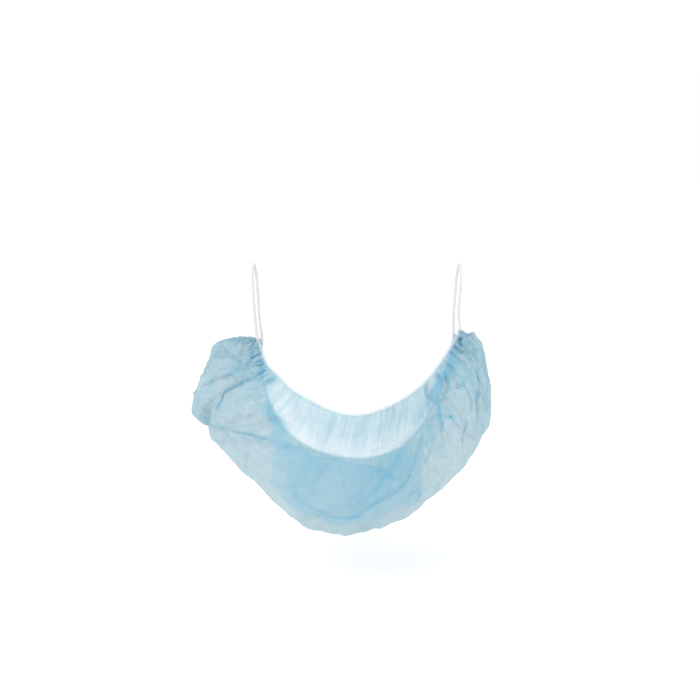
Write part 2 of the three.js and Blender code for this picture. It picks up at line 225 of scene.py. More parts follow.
# Streaks, mostly where the cloth lies in small folds, a few in the middle as painted shade of the neck
# behind it, and light places between them, where it lies single:
# share along, share across, half width in mm, and how many layers more than one
streaks = [
    [(.039, .06, 3, .5), (.100, .05, 5, .6), (.161, .05, 5, .6), (.205, .04, 4, .4)],
    [(.030, .07, 1.5, .4), (.075, .11, 1.8, .6), (.113, .14, 2, .5), (.130, .20, 2.5, .4),
     (.135, .26, 2, 0)],
    [(.130, .05, 5, .3), (.165, .12, 8, .65), (.172, .17, 7, .7), (.191, .21, 3, .7),
     (.204, .27, 2.2, 1.0), (.200, .35, 2, .2)],
    [(.172, .01, 2, .3), (.200, .03, 2, .6), (.232, .10, 2.2, .8), (.243, .16, 2, .9),
     (.247, .20, 1.8, 1.1), (.251, .25, 1.8, 1.4), (.255, .31, 1.6, 1.5), (.259, .35, 1.5, 1.3),
     (.272, .41, 1.2, .2)],
    [(.205, .10, 1.4, .2), (.222, .12, 1.5, .5), (.245, .13, 1.5, .4)],
    [(.268, .01, 1.4, .3), (.278, .07, 1.7, .6), (.287, .12, 1.7, .6), (.297, .18, 1.4, .1)],
    [(.296, .16, 1.4, .1), (.310, .18, 1.5, .4), (.335, .18, 1.8, .4), (.370, .18, 2, .3),
     (.409, .20, 2, .1)],
    [(.322, .10, 3, .2), (.340, .15, 5, .7), (.360, .19, 6, .8), (.385, .23, 6, .5),
     (.410, .26, 5, .2)],
    [(.195, .34, 2, .1), (.213, .42, 2.5, .35), (.235, .50, 2.5, .35), (.250, .54, 2, .1)],
    [(.225, .45, 2, .1), (.243, .47, 2.5, .4), (.268, .46, 2, .2)],
    [(.300, .45, 1.3, .2), (.325, .39, 1.5, .7), (.352, .34, 1.7, .7), (.378, .28, 1.8, .6),
     (.400, .25, 1.5, .1)],
    [(.955, .02, 1.6, .6), (.920, .03, 2.2, 1.3), (.900, .05, 2.6, 1.8), (.891, .08, 2.2, 1.5),
     (.883, .12, 1.7, 1.0), (.883, .19, 1.3, .2)],
    [(.825, .01, 1.3, .3), (.861, .04, 1.6, .6), (.883, .10, 1.6, .4)],
    [(.795, .01, 3, .3), (.817, .05, 4, .5), (.828, .11, 3, .1)],
    [(.742, .03, 1.3, .2), (.728, .05, 1.5, .6), (.709, .08, 1.4, .2)],
    [(.735, .04, 1.2, .2), (.729, .08, 1.3, .6), (.725, .12, 1.2, .2)],
    [(.675, .03, 1.5, .2), (.696, .08, 2.2, .6), (.704, .13, 2.2, .7), (.704, .18, 3, .6),
     (.690, .20, 4, .5), (.664, .18, 4, .4), (.639, .19, 5, .5), (.613, .22, 6, .5),
     (.570, .26, 6, .2)],
    [(.812, .20, 1.3, .1), (.788, .18, 1.6, .5), (.748, .15, 2, .6), (.717, .15, 2, .6),
     (.700, .17, 2, .2)],
    [(.650, .09, 1, .1), (.655, .13, 1, .5), (.660, .17, 1, .1)],
    [(.716, .17, 1.4, .5), (.726, .25, 1.4, 1.1), (.733, .30, 1.3, 1.0), (.740, .36, 1.1, .1)],
    [(.704, .20, 1.6, .7), (.709, .26, 1.7, .9), (.700, .32, 1.5, .7), (.690, .39, 1.3, 0)],
    [(.756, .32, 1.3, .3), (.756, .38, 1.4, 1.1), (.749, .44, 1.4, .9), (.738, .50, 1.2, 0)],
    [(.800, .15, 1.4, .3), (.790, .20, 1.6, .9), (.778, .26, 1.6, .9), (.764, .34, 1.3, .1)],
    [(.866, .19, 1.4, .3), (.845, .25, 1.7, .9), (.804, .30, 1.7, .9), (.787, .35, 1.6, .7),
     (.775, .44, 1.3, 0)],
    [(.890, .27, 1.5, .3), (.845, .36, 1.8, .9), (.812, .45, 1.5, .1)],
    [(.683, .28, 1.3, .2), (.672, .36, 1.7, .8), (.655, .43, 1.3, .1)],
    [(.255, .57, 1.2, .2), (.274, .50, 1.4, .6), (.313, .41, 1.6, .6), (.357, .33, 1.8, .65),
     (.383, .29, 1.8, .6), (.426, .24, 2, .6), (.470, .22, 2, .5), (.513, .22, 2, .5),
     (.548, .25, 1.8, .5), (.596, .34, 1.6, .4), (.635, .40, 1.2, .1)],
    [(.350, .36, 2, .1), (.400, .30, 4, .3), (.440, .27, 4, .3), (.500, .26, 4, .3),
     (.560, .30, 4, .2)],
    # painted shade: this V and the two broad streaks after it make the middle denser, standing for the
    # shaded neck behind the cloth
    [(.655, .24, 1.4, .3), (.648, .31, 1.6, .6), (.635, .37, 1.8, .6), (.617, .42, 2, .65),
     (.591, .43, 2, .65), (.561, .46, 2, .7), (.530, .49, 2, .7), (.500, .49, 2, .65),
     (.478, .48, 1.8, .5), (.448, .46, 1.6, .5), (.409, .43, 1.3, .2)],
    [(.400, .34, 8, .1), (.440, .37, 12, .15), (.490, .40, 15, .2), (.540, .40, 15, .25),
     (.590, .36, 15, .45), (.625, .31, 12, .45), (.650, .26, 7, .1)],
    [(.395, .27, 5, .1), (.440, .29, 10, .15), (.500, .30, 12, .15), (.560, .30, 12, .25),
     (.610, .27, 9, .2)],
    [(.600, .24, 3, .2), (.575, .33, 3.5, .5), (.540, .41, 3, .2)],
    [(.120, .02, 4, .3), (.190, .03, 5, .8), (.240, .04, 6, 1.1), (.285, .05, 7, 1.0),
     (.320, .07, 5, .4), (.345, .09, 4, .1)],
    [(.236, .00, 1.2, .5), (.243, .05, 1.5, .6), (.250, .10, 1.2, .2)],
    [(.290, .01, 1.2, .2), (.300, .06, 1.4, .35), (.318, .12, 1.3, .1)],
    [(.570, .15, 4, .1), (.620, .13, 6, .3), (.660, .11, 9, 1.0), (.705, .08, 9, 1.4),
     (.750, .06, 8, 1.5), (.810, .05, 7, 1.1), (.870, .03, 5, .7), (.930, .03, 4, .4)],
    [(.690, .00, 1.2, .2), (.684, .05, 1.5, .3), (.676, .12, 1.3, .1)],
    [(.765, .00, 1.2, .2), (.758, .06, 1.6, .4), (.748, .11, 1.3, .1)],
    [(.370, .08, 9, .1), (.420, .08, 12, .45), (.500, .075, 12, .55), (.580, .08, 12, .55),
     (.640, .08, 9, .15)],
    [(.330, -.02, 12, .2), (.400, -.02, 12, .4), (.500, -.02, 12, .5), (.600, -.02, 12, .5),
     (.680, -.02, 12, .2)],
    [(.570, .03, 9, .1), (.600, .05, 9, .3), (.620, .08, 9, .1)],
    [(.285, .44, 6, -.2), (.320, .43, 9, -.4), (.360, .46, 10, -.4)],
    [(.675, .44, 7, -.2), (.700, .44, 8, -.35), (.745, .45, 7, -.3)],
    [(.017, .24, 6, -.3), (.060, .20, 6, -.4), (.095, .20, 5, -.4)],
    [(.157, .26, 5, -.3), (.130, .50, 5, -.2)],
    [(.222, .14, 3, -.3), (.235, .21, 6, -.55), (.239, .28, 7, -.55), (.239, .34, 6, -.4)],
    [(.291, .25, 5, -.2), (.310, .30, 9, -.3), (.343, .25, 6, -.2)],
    [(.904, .11, 2.5, -.4), (.910, .15, 2.5, -.2)],
    [(.843, .06, 2.2, -.4), (.850, .09, 2.2, -.2)],
    [(.796, .08, 2.4, -.3), (.791, .14, 3, -.4)],
    [(.752, .10, 2.4, -.3), (.722, .10, 2, -.3)],
    [(.765, .18, 2.5, -.2), (.761, .23, 4, -.4), (.745, .30, 3.5, -.3)],
    [(.775, .31, 3.5, -.3), (.764, .40, 4, -.3)],
    [(.825, .29, 2.5, -.2), (.817, .33, 3, -.3)],
    [(.716, .27, 2.5, -.2), (.722, .33, 4, -.4), (.728, .40, 5, -.3)],
    [(.132, .22, 1.5, .3), (.130, .18, 1.8, .5), (.122, .15, 1.4, .2)],
    [(.070, .45, 2, .3), (.087, .33, 2.2, .5), (.109, .25, 1.8, .4)],
    [(.100, .42, 1.5, .2), (.117, .36, 1.8, .4), (.132, .36, 1.5, .2)],
    [(.283, .09, 1.3, .2), (.300, .14, 1.5, .5), (.320, .15, 1.3, .2)],
    [(.838, .00, 1.4, .4), (.813, .01, 1.6, .6), (.806, .04, 1.3, .2)],
    [(.842, .17, 1.4, .3), (.826, .20, 1.7, .7), (.820, .25, 1.4, .2)],
    [(.883, .07, 1.4, .3), (.888, .14, 1.8, .6), (.876, .19, 1.4, .3)],
    [(.822, .25, 1.3, .2), (.808, .27, 1.6, .5), (.795, .29, 1.3, .2)],
    [(.672, .01, 1.3, .2), (.678, .05, 1.5, .4), (.693, .10, 1.3, .2)],
    [(.803, .38, 1.4, .2), (.791, .46, 1.8, .7), (.782, .51, 1.4, .2)],
    [(.283, .17, 2.5, -.2), (.278, .13, 3, -.3), (.272, .10, 2, -.2)],
    [(.262, .03, 2, -.3), (.265, .07, 2.5, -.4), (.261, .10, 2, -.2)],
    [(.205, .08, 2.5, -.3), (.232, .10, 2.5, -.3)],
    [(.143, .28, 4, -.35), (.183, .25, 4, -.25)],
    [(.135, .54, 5, -.3), (.165, .45, 6, -.35), (.191, .35, 5, -.3)],
    [(.296, .07, 3, -.3), (.326, .06, 4, -.3)],
    [(.217, .43, 3, -.3), (.235, .47, 3, -.3)],
    [(.243, .44, 2.5, -.2), (.261, .41, 3, -.3)],
    [(.826, .31, 3, -.3), (.809, .35, 3, -.3)],
    [(.691, .21, 2.5, -.3), (.691, .27, 3, -.35), (.687, .31, 2.5, -.25)],
    [(.761, .20, 2.5, -.3), (.752, .24, 3, -.4), (.743, .31, 2.5, -.3)],
    [(.761, .27, 2.5, -.3), (.756, .35, 2.5, -.3)],
    [(.778, .32, 2.5, -.3), (.774, .39, 3, -.35), (.765, .44, 2.5, -.3)],
    [(.758, .15, 2, -.25), (.776, .16, 2, -.25)],
]

# Places where the cloth lies doubled, partly real and partly painted shade: in the middle, extra layers
# stand for the shaded neck behind the cloth.
# For each: layers more than one, how soft the edge is, and the corners by share along and share across
doubledAndShaded = [
    (.6, 2, [
        (.384, .25), (.388, .32), (.391, .37), (.395, .46), (.402, .54), (.448, .53), (.483, .51),
        (.509, .54), (.543, .52), (.587, .505), (.612, .50), (.625, .54), (.655, .56), (.651, .52),
        (.650, .48), (.653, .44), (.657, .40), (.659, .36), (.660, .32), (.658, .29), (.652, .235),
        (.613, .225), (.561, .205), (.517, .195), (.478, .195), (.443, .205), (.413, .225)]),
    (.3, 2, [
        (.648, .29), (.658, .29), (.660, .32), (.659, .36), (.657, .40), (.653, .44), (.650, .48),
        (.651, .52), (.655, .56), (.625, .54), (.612, .50), (.628, .44), (.643, .37)]),
    (.18, 2, [
        (.412, .315), (.420, .34), (.423, .385), (.427, .43), (.429, .485), (.434, .515), (.452, .49),
        (.452, .43), (.450, .38), (.452, .32), (.452, .26), (.428, .294)]),
    (.2, 2, [
        (.412, .315), (.420, .34), (.423, .385), (.427, .43), (.429, .485), (.434, .515), (.470, .46),
        (.478, .41), (.474, .36), (.476, .30), (.474, .235), (.445, .264), (.428, .294)]),
    (.7, 8, [
        (.328, .12), (.343, .19), (.356, .24), (.370, .285), (.385, .32), (.384, .25), (.413, .225),
        (.412, .206), (.376, .190), (.363, .14), (.345, .105)]),
    (.7, 8, [
        (.652, .235), (.663, .200), (.690, .180), (.706, .160), (.718, .20), (.716, .25),
        (.704, .290), (.687, .297), (.671, .297), (.660, .31), (.658, .29)]),
]


def coverSurface(stepsAlong, stepsAcross):
    # the smooth pouch: each section runs from the front edge round the keel to the rear edge
    rows = smoothRows(cover["sections"], cover["sectionSteps"])
    places = np.linspace(0, len(rows) - 1, stepsAlong + 1)
    rows = np.stack([np.interp(places, np.arange(len(rows)), column) for column in rows.T], -1)
    front = alongLine(frontLine, np.clip(rows[:, 3], 0, 1))
    rear = alongLine(rearLine, np.clip(rows[:, 4], 0, 1))
    keel = rows[:, :3]
    hollow = (front + keel + rear) / 3

    def swollenMiddle(edge, swell):
        middle = (edge + keel) / 2
        chord = unit(keel - edge)
        out = middle - hollow
        out -= chord * (out * chord).sum(1)[:, None]
        return middle + unit(out) * swell[:, None]

    frontMiddle = swollenMiddle(front, rows[:, 5])
    rearMiddle = swollenMiddle(rear, rows[:, 6])
    shares = np.linspace(0, 1, stepsAcross + 1)
    grid = np.zeros((stepsAlong + 1, stepsAcross + 1, 3))
    for i in range(stepsAlong + 1):
        corners = [front[i], frontMiddle[i], keel[i], rearMiddle[i], rear[i]]
        line = smoothRows(corners, cover["panelSteps"])
        grid[i] = alongLine(line, shares)
    return grid


def gridNormals(grid):
    return unit(np.cross(np.gradient(grid, axis=1), np.gradient(grid, axis=0)))


def flatPlaces(grid):
    # where each point lies on the flat cloth, in mm
    along = np.linspace(0, cover["flatLength"], grid.shape[0])
    across = np.linspace(0, cover["flatWidth"], grid.shape[1])
    return np.meshgrid(along, across, indexing="ij")


def softNoise(x, y, size, rng):
    # smooth random heights from -1 to 1, size mm from one to the next
    u, v = x / size + 2, y / size + 2
    table = rng.uniform(-1, 1, (int(u.max()) + 4, int(v.max()) + 4))
    i, j = np.floor(u).astype(int), np.floor(v).astype(int)
    s, t = smoothStep(u - i, 0, 1), smoothStep(v - j, 0, 1)
    low = table[i, j] * (1 - s) + table[i + 1, j] * s
    high = table[i, j + 1] * (1 - s) + table[i + 1, j + 1] * s
    return low * (1 - t) + high * t


def stretches(grid):
    # mm of surface for each mm of flat cloth, along and across
    x, y = flatPlaces(grid)
    along = np.linalg.norm(np.gradient(grid, x[:, 0], axis=0), axis=-1)
    across = np.linalg.norm(np.gradient(grid, y[0], axis=1), axis=-1)
    return blurred(along, gathers["stretchBlur"]), blurred(across, gathers["stretchBlur"])


def blurred(values, times):
    values = values.copy()
    for _ in range(times):
        values[1:-1] = (values[:-2] + 2 * values[1:-1] + values[2:]) / 4
        values[:, 1:-1] = (values[:, :-2] + 2 * values[:, 1:-1] + values[:, 2:]) / 4
    return values


def pleats(place, depth, stretch, length, count, reach, share, rng):
    # pleats run in from an edge, as high as the slack they take up asks, and die out unevenly
    wander = gathers["stray"] * softNoise(place, depth * 0, gathers["strayPleats"] * length / count, rng)
    drift = gathers["drift"] * softNoise(place, depth, gathers["driftSize"], rng)
    wander += drift * smoothStep(depth, 0, gathers["driftFull"])
    between = 0.5 + 0.5 * softNoise(place, depth * 0, gathers["reachPleats"] * length / count, rng)
    ownReach = reach[0] + (reach[1] - reach[0]) * between
    wave = np.cos(2 * math.pi * (count * place / length + wander))
    uneven = softNoise(place, depth, gathers["unevenSize"], rng)
    wave = wave * (1 - gathers["uneven"] + gathers["uneven"] * uneven)
    slack = np.clip(1 / stretch - 1, 0, gathers["mostSlack"])
    height = share * stretch * length / count * gathers["rise"] * np.sqrt(slack)
    height = np.minimum(height, gathers["highest"] / 2)
    return wave * height * (1 - smoothStep(depth, gathers["fullShare"] * ownReach, ownReach))


def gatherHeights(grid, size, rng):
    x, y = flatPlaces(grid)
    own = gathers[size]
    length, width = cover["flatLength"], cover["flatWidth"]
    alongStretch, acrossStretch = stretches(grid)
    taut = smoothStep(np.abs(x / length - 0.5), 0.5 * gathers["tautHalf"], 1.5 * gathers["tautHalf"])
    front = pleats(x, y, alongStretch, length, own["front"], own["reach"], own["share"], rng)
    rear = pleats(x, width - y, alongStretch, length, own["rear"], own["reach"], own["share"], rng)
    height = front * (gathers["tautShare"] + (1 - gathers["tautShare"]) * taut) + rear
    if size == "wide":
        return height
    ends = gathers["ends"]
    for fromEnd in (x, length - x):
        height += pleats(
            y, fromEnd, acrossStretch, width, ends["count"], ends["reach"], ends["share"], rng)
    return height


def creaseHeights(x, y):
    total = np.zeros_like(x)
    for fromAlong, fromAcross, toAlong, toAcross, height, halfWidth in creases:
        ax, ay = fromAlong * cover["flatLength"], fromAcross * cover["flatWidth"]
        dx, dy = toAlong * cover["flatLength"] - ax, toAcross * cover["flatWidth"] - ay
        t = np.clip(((x - ax) * dx + (y - ay) * dy) / (dx * dx + dy * dy), 0, 1)
        away = np.hypot(x - ax - t * dx, y - ay - t * dy) / halfWidth
        own = height * np.exp(-away**creaseShape)
        total = np.where(np.abs(own) > np.abs(total), own, total)
    return total


def crinkleHeights(x, y, rng):
    length, width = cover["flatLength"], cover["flatWidth"]
    total, lines = np.zeros_like(x), np.zeros_like(x)
    for _ in range(crinkles["count"]):
        cx, cy = rng.uniform(*crinkles["along"]) * length, rng.uniform(*crinkles["across"]) * width
        earX = 0 if cx < length / 2 else length
        direction = math.atan2(width / 2 - cy, earX - cx) + rng.normal(0, crinkles["turn"])
        half = rng.uniform(*crinkles["length"]) / 2
        height, halfWidth = rng.uniform(*crinkles["height"]), rng.uniform(*crinkles["halfWidth"])
        if abs(cx / length - 0.5) < crinkles["calmHalf"] and cy < width / 2:
            height *= crinkles["calmShare"]
        dx, dy = math.cos(direction), math.sin(direction)
        place = (x - cx) * dx + (y - cy) * dy
        bow = rng.uniform(-crinkles["bow"], crinkles["bow"]) * (place**2 / half - half)
        off = np.abs((y - cy) * dx - (x - cx) * dy - bow) / halfWidth
        fade = 1 - smoothStep(np.abs(place), crinkles["fullShare"] * half, half)
        total += height * np.exp(-off**crinkles["shape"]) * fade
        lines = np.maximum(lines, abs(height) / crinkles["lineHeight"] * np.exp(-off**2) * fade)
    return total, lines


def foldedSurface():
    # the smooth pouch with its wide gathers and main creases, ready for the simulation
    rng = np.random.default_rng(cover["seed"])
    grid = coverSurface(cover["stepsAlong"], cover["stepsAcross"])
    x, y = flatPlaces(grid)
    height = gatherHeights(grid, "wide", rng) + creaseHeights(x, y)
    height *= smoothStep(fromHems(x, y), *cover["hemFade"])
    return grid + gridNormals(grid) * height[..., None]


def fromHems(x, y):
    return np.minimum(np.minimum(y, cover["flatWidth"] - y), np.minimum(x, cover["flatLength"] - x))


def makeSheet(name, positions):
    stepsAlong, stepsAcross = positions.shape[0] - 1, positions.shape[1] - 1
    bm = bmesh.new()
    flat = bm.loops.layers.uv.new("flat")
    bmesh.ops.create_grid(bm, x_segments=stepsAlong, y_segments=stepsAcross, size=0.5)
    for face in bm.faces:
        face.smooth = True
        for loop in face.loops:
            along, across = loop.vert.co.x + 0.5, loop.vert.co.y + 0.5
            loop[flat].uv = (along * cover["flatLength"] * mm, across * cover["flatWidth"] * mm)
    for vert in bm.verts:
        i = round((vert.co.x + 0.5) * stepsAlong)
        j = round((vert.co.y + 0.5) * stepsAcross)
        vert.co = Vector(positions[i, j]) * mm
    mesh = bpy.data.meshes.new(name)
    bm.to_mesh(mesh)
    bm.free()
    sheet = bpy.data.objects.new(name, mesh)
    bpy.context.scene.collection.objects.link(sheet)
    return sheet


def gridOf(values, shape):
    # a sheet's vertices are numbered row by row, along before across
    return np.asarray(values).reshape(shape[1], shape[0], -1).transpose(1, 0, 2)


clothSettings = {
    "scale": 10,  # simulated ten times larger, where ordinary settings suit the cloth
    "frames": 26,
    "quality": 5,
    "mass": 0.1,
    "goal": 0.05,  # how strongly the cloth between the hems keeps its place
    "slack": -0.13,
    "slackFull": (6, 8),  # steps in from a hem and from an end
    "tension": 20,
    "shear": 10,
    "bending": 0.3,
    "damping": 5,
    "bendingDamping": 0.5,
    "airDamping": 2,
    "gravity": 0.2,
    "mostMove": 14,  # mm
}


def simulateCloth(positions):
    chosen = clothSettings
    sheet = makeSheet("settling_cloth", positions * chosen["scale"])
    stepsAlong, stepsAcross = positions.shape[0] - 1, positions.shape[1] - 1
    count = len(sheet.data.vertices)
    column = np.arange(count) % (stepsAlong + 1)
    row = np.arange(count) // (stepsAlong + 1)
    fromEdge = np.minimum(row, stepsAcross - row)
    fromEnd = np.minimum(column, stepsAlong - column)
    held = sheet.vertex_groups.new(name="held")
    slack = sheet.vertex_groups.new(name="slack")
    for k in range(count):
        held.add([k], 1.0 if fromEdge[k] == 0 or fromEnd[k] == 0 else chosen["goal"], "REPLACE")
        share = min(fromEdge[k] / chosen["slackFull"][0], fromEnd[k] / chosen["slackFull"][1])
        slack.add([k], float(np.clip(share, 0, 1)), "REPLACE")
    modifier = sheet.modifiers.new("cloth", "CLOTH")
    settings = modifier.settings
    settings.quality = chosen["quality"]
    settings.mass = chosen["mass"]
    settings.tension_stiffness = settings.compression_stiffness = chosen["tension"]
    settings.shear_stiffness = chosen["shear"]
    settings.bending_stiffness = chosen["bending"]
    settings.tension_damping = settings.compression_damping = settings.shear_damping = chosen["damping"]
    settings.bending_damping = chosen["bendingDamping"]
    settings.air_damping = chosen["airDamping"]
    settings.vertex_group_mass = "held"
    settings.pin_stiffness = 1
    settings.shrink_min = 0
    settings.shrink_max = chosen["slack"]
    settings.vertex_group_shrink = "slack"
    settings.effector_weights.gravity = chosen["gravity"]
    modifier.collision_settings.use_self_collision = False
    modifier.collision_settings.use_collision = False
    modifier.point_cache.frame_start = 1
    modifier.point_cache.frame_end = chosen["frames"]
    for step in range(1, chosen["frames"] + 1):
        bpy.context.scene.frame_set(step)
    shaped = np.zeros(count * 3)
    sheet.evaluated_get(bpy.context.evaluated_depsgraph_get()).data.vertices.foreach_get("co", shaped)
    bpy.context.scene.frame_set(1)
    bpy.data.objects.remove(sheet)
    move = gridOf(shaped, positions.shape) / (chosen["scale"] * mm) - positions
    length = np.linalg.norm(move, axis=-1, keepdims=True)
    print("cloth settled, mean move", round(float(length.mean()), 2), "mm")
    return positions + move * np.minimum(1, chosen["mostMove"] / np.maximum(length, 1e-9))


def finerGrid(grid, times):
    along = smoothRows(grid.reshape(len(grid), -1), times).reshape(-1, grid.shape[1], 3)
    turned = along.transpose(1, 0, 2)
    across = smoothRows(turned.reshape(len(turned), -1), times).reshape(-1, along.shape[0], 3)
    return across.transpose(1, 0, 2)


facets = {
    "largeSize": 26,  # mm from one to the next
    "smallSize": 11,
    "largeHeight": 3.0,
    "smallHeight": 1.6,
    "crooked": 0.35,  # how far their sides stray, in sizes
    "lean": (0.7, 1.4),  # how much longer one way than the other
    "crestWidth": 0.09,  # in sizes
    "middle": 0.4,  # height, as a share, that lies where the smooth cloth does
}


def facetHeights(x, y, size, rng):
    # flat-sided crumples: height from the nearest of a scatter of places, and the lines where two meet
    length, width = cover["flatLength"], cover["flatWidth"]
    x = x + facets["crooked"] * size * softNoise(x, y, size, rng)
    y = y + facets["crooked"] * size * softNoise(x, y, size, rng)
    count = int((length + 2 * size) * (width + 2 * size) / size**2)
    along = rng.uniform(-size, length + size, count)
    across = rng.uniform(-size, width + size, count)
    lean = rng.uniform(*facets["lean"], count)
    nearest, second = np.full(x.shape, 1e9), np.full(x.shape, 1e9)
    for px, py, stretch in zip(along, across, lean):
        away = np.hypot((x - px) * stretch, (y - py) / stretch)
        second = np.where(away < nearest, nearest, np.minimum(second, away))
        nearest = np.minimum(nearest, away)
    return nearest / size, np.exp(-(second - nearest) / (facets["crestWidth"] * size))


def nearLine(x, y, rows, steps):
    # for each place: how far the line is, on which side, how far along it, and its other columns there
    length, width = cover["flatLength"], cover["flatWidth"]
    rows = smoothRows([(px * length, py * width, *rest) for px, py, *rest in rows], steps)
    best, side, along = np.full(x.shape, 1e9), np.zeros(x.shape), np.zeros(x.shape)
    rest = np.zeros(x.shape + (rows.shape[1] - 2,))
    reached = 0
    for start, end in zip(rows[:-1], rows[1:]):
        dx, dy = end[:2] - start[:2]
        norm = math.hypot(dx, dy)
        t = np.clip(((x - start[0]) * dx + (y - start[1]) * dy) / norm**2, 0, 1)
        away = np.hypot(x - start[0] - t * dx, y - start[1] - t * dy)
        nearer = away < best
        best[nearer] = away[nearer]
        side[nearer] = (((y - start[1]) * dx - (x - start[0]) * dy) / norm)[nearer]
        along[nearer] = reached + norm * t[nearer]
        rest[nearer] = (start[2:] + (end[2:] - start[2:]) * t[..., None])[nearer]
        reached += norm
    return best, side, along, rest


def insideOf(x, y, corners):
    # 1 inside the outline that the corners give, 0 outside it
    corners = np.array(corners) * (cover["flatLength"], cover["flatWidth"])
    inside = np.zeros(x.shape, bool)
    for (ax, ay), (bx, by) in zip(corners, np.roll(corners, -1, axis=0)):
        crosses = (ay > y) != (by > y)
        inside[crosses] ^= x[crosses] < ax + (y[crosses] - ay) * (bx - ax) / (by - ay)
    return inside.astype(float)


streakStyle = {
    "stray": ((2.2, 15), (0.7, 5)),  # mm that the lines stray, and mm on which that changes
    "steps": 5,  # of the smooth line between two points
    "thinnest": 0.5,  # mm of half width
    "soft": 6,  # half widths in mm: from here on both sides are soft
    "crisp": 2,  # and up to here one side is crisp
    "crispSide": 0.6,  # how much narrower that side is
    "softSide": 0.5,  # and how much wider the other
    "strandWidth": 1.3,  # mm
    "strandLength": 0.07,  # widths for each mm along
    "strandReach": 30,  # mm to each side of the line
    "strandFade": (12, 3),  # half widths in mm between which the strands come up
    "strandShare": 0.35,
    "depth": 1.6,  # mm that the cloth sinks along a streak of one layer
    "rippleHeight": 0.35,
}


def strayed(values, x, y, rng):
    for far, size in streakStyle["stray"]:
        values = values + far * softNoise(x, y, size, rng)
    return values


def streakLines(flatX, flatY, rng):
    # layers added by the streaks and the doubled places, with painted shade of the neck in the middle,
    # and how the cloth rises and sinks along them
    style = streakStyle
    x = strayed(flatX, flatX, flatY, rng)
    y = strayed(flatY, flatX, flatY, rng)
    reach = style["strandReach"]
    layers, height = np.zeros(x.shape), np.zeros(x.shape)
    for points in streaks:
        best, side, reached, rest = nearLine(x, y, points, style["steps"])
        half, amount = np.maximum(rest[..., 0], style["thinnest"]), rest[..., 1]
        crisp = smoothStep(half, style["soft"], style["crisp"]) * (amount > 0)
        crispSide = rng.choice((-1, 1))
        strandPlace = np.clip(side, -reach, reach) + reach
        strands = softNoise(strandPlace, reached * style["strandLength"], style["strandWidth"], rng)
        strands = strands * smoothStep(half, *style["strandFade"])
        narrower, wider = 1 - style["crispSide"] * crisp, 1 + style["softSide"] * crisp
        spread = half * np.where(side * crispSide > 0, narrower, wider)
        near = np.exp(-(best / spread)**2)
        layers += amount * near * (1 + np.where(amount > 0, style["strandShare"], 0) * strands)
        height += style["rippleHeight"] * np.abs(amount) * near * strands
        height -= style["depth"] * amount * crisp * np.exp(-best / spread)
    # the doubled places add layers too; in the middle these layers are painted shade, standing for the
    # shaded neck behind the cloth
    for amount, softness, corners in doubledAndShaded:
        layers += amount * blurred(insideOf(x, y, corners), softness)
    return layers, height


def layerDensity(grid, smoothGrid):
    # how much cloth lies over each place: what the surface has drawn together, and the sides of its folds
    x, y = flatPlaces(grid)
    along, across = np.gradient(grid, x[:, 0], axis=0), np.gradient(grid, y[0], axis=1)
    area = np.linalg.norm(np.cross(along, across), axis=-1)
    drawn = 1 / np.maximum(blurred(area, finish["areaBlur"]), 1 / finish["mostPiled"])
    facing = np.abs((gridNormals(grid) * gridNormals(smoothGrid)).sum(-1))
    return drawn / np.maximum(facing, finish["steepest"])


finish = {
    "chinShare": 0.4,  # how crumpled the taut stretch over the chin is
    "chinHalf": (0.24, 0.4),  # its half length and its width, as shares of the cloth
    "chinFade": (0.6, 1.2),
    "crumplesFull": 14,  # mm in from the hems
    "finePleatsFull": (-1, 3),
    "streaksFull": 5,
    "smoothBlur": 40,  # how often the grid is blurred to give the smooth pouch
    "areaBlur": 6,
    "mostPiled": 5,  # layers
    "steepest": 0.3,  # share of its size that a fold's side still shows
    "gatherShare": 0.5,  # how much of the drawing together shows as thicker cloth
    "mostDrawn": 1.4,
    "largeCrests": 0.25,  # layers that show more along the crests of the crumples and wrinkles
    "smallCrests": 0.12,
    "wrinkleCrests": 0.45,
    "hairShare": 0.3,  # how much the hair-fine pleats beside the hems show as thicker cloth
    "frontHairs": (1.5, 0.06),  # mm of width, and widths for each mm of length
    "rearHairs": (0.9, 0.09),
    "rearHairShare": 0.6,
    "hairFade": (12, 48),  # mm in from the hems
    "fewestLayers": 0.85,
    "mostLayers": 3.3,
}


